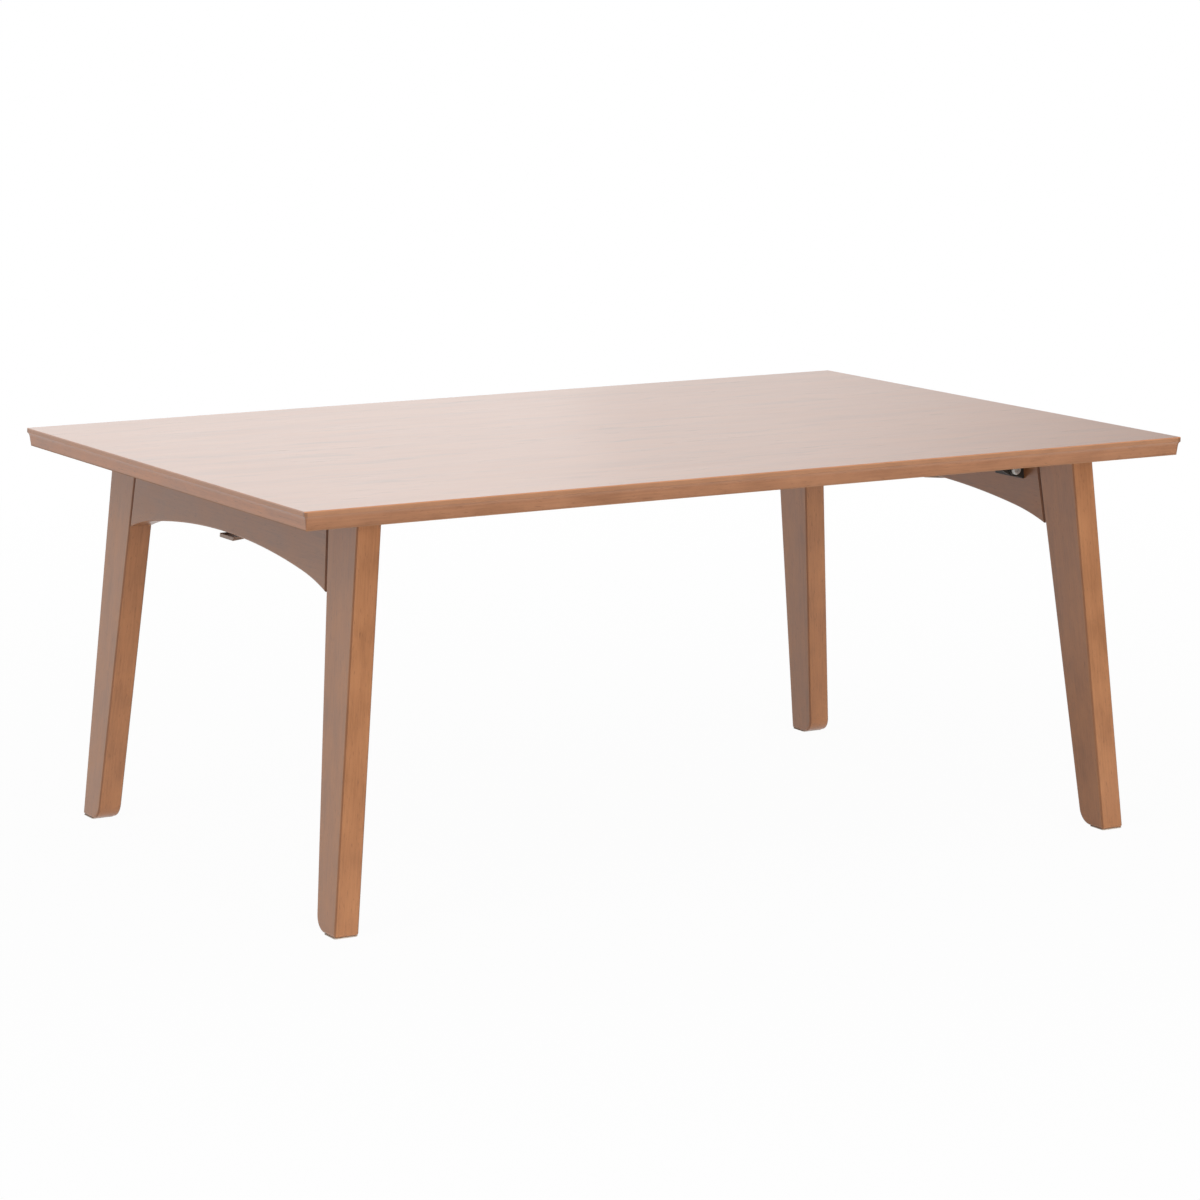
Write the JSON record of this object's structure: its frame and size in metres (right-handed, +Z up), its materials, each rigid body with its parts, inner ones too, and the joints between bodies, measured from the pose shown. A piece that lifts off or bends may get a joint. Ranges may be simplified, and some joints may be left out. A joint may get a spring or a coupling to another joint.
{
  "type": "folding floor table",
  "caption": "Low rectangular wooden table with a veneered top and splayed, arched leg frames that fold in under it on bolted brackets, each held by a sprung latch with a finger tab.",
  "frame": {"origin": "on the floor, under the middle of the top", "axes": "+X along the table, +Y from its front to its back, +Z up"},
  "size_m": [0.9, 0.6, 0.373],
  "materials": {
    "top_veneer": "satin lacquered veneer",
    "underside_veneer": "matt backing veneer",
    "edge_wood": "satin lacquered solid wood",
    "leg_wood": "satin lacquered solid wood",
    "core_board": "raw board",
    "dowel_wood": "raw wood",
    "black_steel": "satin black coating",
    "zinc_steel": "bright zinc plate",
    "latch_steel": "brown lacquered steel",
    "spring_steel": "drawn spring wire",
    "felt": "pressed felt"
  },
  "bodies": {
    "tabletop": {"core_panel": "core_board", "top_veneer": "top_veneer", "underside_veneer": "underside_veneer", "front_lipping": "edge_wood", "back_lipping": "edge_wood", "left_lipping": "edge_wood", "right_lipping": "edge_wood", "left_front_top_bracket": "black_steel", "left_back_top_bracket": "black_steel", "left_top_bracket_screws": "zinc_steel", "left_latch_keeper": "latch_steel", "left_keeper_screws": "zinc_steel", "right_front_top_bracket": "black_steel", "right_back_top_bracket": "black_steel", "right_top_bracket_screws": "zinc_steel", "right_latch_keeper": "latch_steel", "right_keeper_screws": "zinc_steel"},
    "left_leg_frame": {"left_front_leg": "leg_wood", "left_front_foot_pad": "felt", "left_front_apron_bracket": "black_steel", "left_front_pivot_bolt": "zinc_steel", "left_back_leg": "leg_wood", "left_back_foot_pad": "felt", "left_back_apron_bracket": "black_steel", "left_back_pivot_bolt": "zinc_steel", "left_apron": "leg_wood", "left_dowels": "dowel_wood", "left_apron_bracket_screws": "zinc_steel", "left_pivot_nuts": "zinc_steel", "left_pivot_washers": "zinc_steel", "left_latch_housing": "latch_steel", "left_latch_housing_screws": "zinc_steel", "left_latch_spring": "spring_steel"},
    "left_latch": {"left_latch_slide": "latch_steel"},
    "right_leg_frame": {"right_front_leg": "leg_wood", "right_front_foot_pad": "felt", "right_front_apron_bracket": "black_steel", "right_front_pivot_bolt": "zinc_steel", "right_back_leg": "leg_wood", "right_back_foot_pad": "felt", "right_back_apron_bracket": "black_steel", "right_back_pivot_bolt": "zinc_steel", "right_apron": "leg_wood", "right_dowels": "dowel_wood", "right_apron_bracket_screws": "zinc_steel", "right_pivot_nuts": "zinc_steel", "right_pivot_washers": "zinc_steel", "right_latch_housing": "latch_steel", "right_latch_housing_screws": "zinc_steel", "right_latch_spring": "spring_steel"},
    "right_latch": {"right_latch_slide": "latch_steel"}
  },
  "joints": [
    {"name": "left_fold", "type": "hinge", "parent": "tabletop", "child": "left_leg_frame", "pos_m": [-0.34974, 0, 0.3344], "axis": [0, -1, 0], "range_deg": [0, 95.4]},
    {"name": "right_fold", "type": "hinge", "parent": "tabletop", "child": "right_leg_frame", "pos_m": [0.34974, 0, 0.3344], "axis": [0, 1, 0], "range_deg": [0, 95.4]},
    {"name": "left_latch_release", "type": "slide", "parent": "left_leg_frame", "child": "left_latch", "axis": [-0.0941, 0, -0.9956], "range_m": [0, 0.005], "stiffness_N_per_m": 500, "springref_m": -0.006, "deforming": ["left_latch_spring"]},
    {"name": "right_latch_release", "type": "slide", "parent": "right_leg_frame", "child": "right_latch", "axis": [0.0941, 0, -0.9956], "range_m": [0, 0.005], "stiffness_N_per_m": 500, "springref_m": -0.006, "deforming": ["right_latch_spring"]}
  ]
}
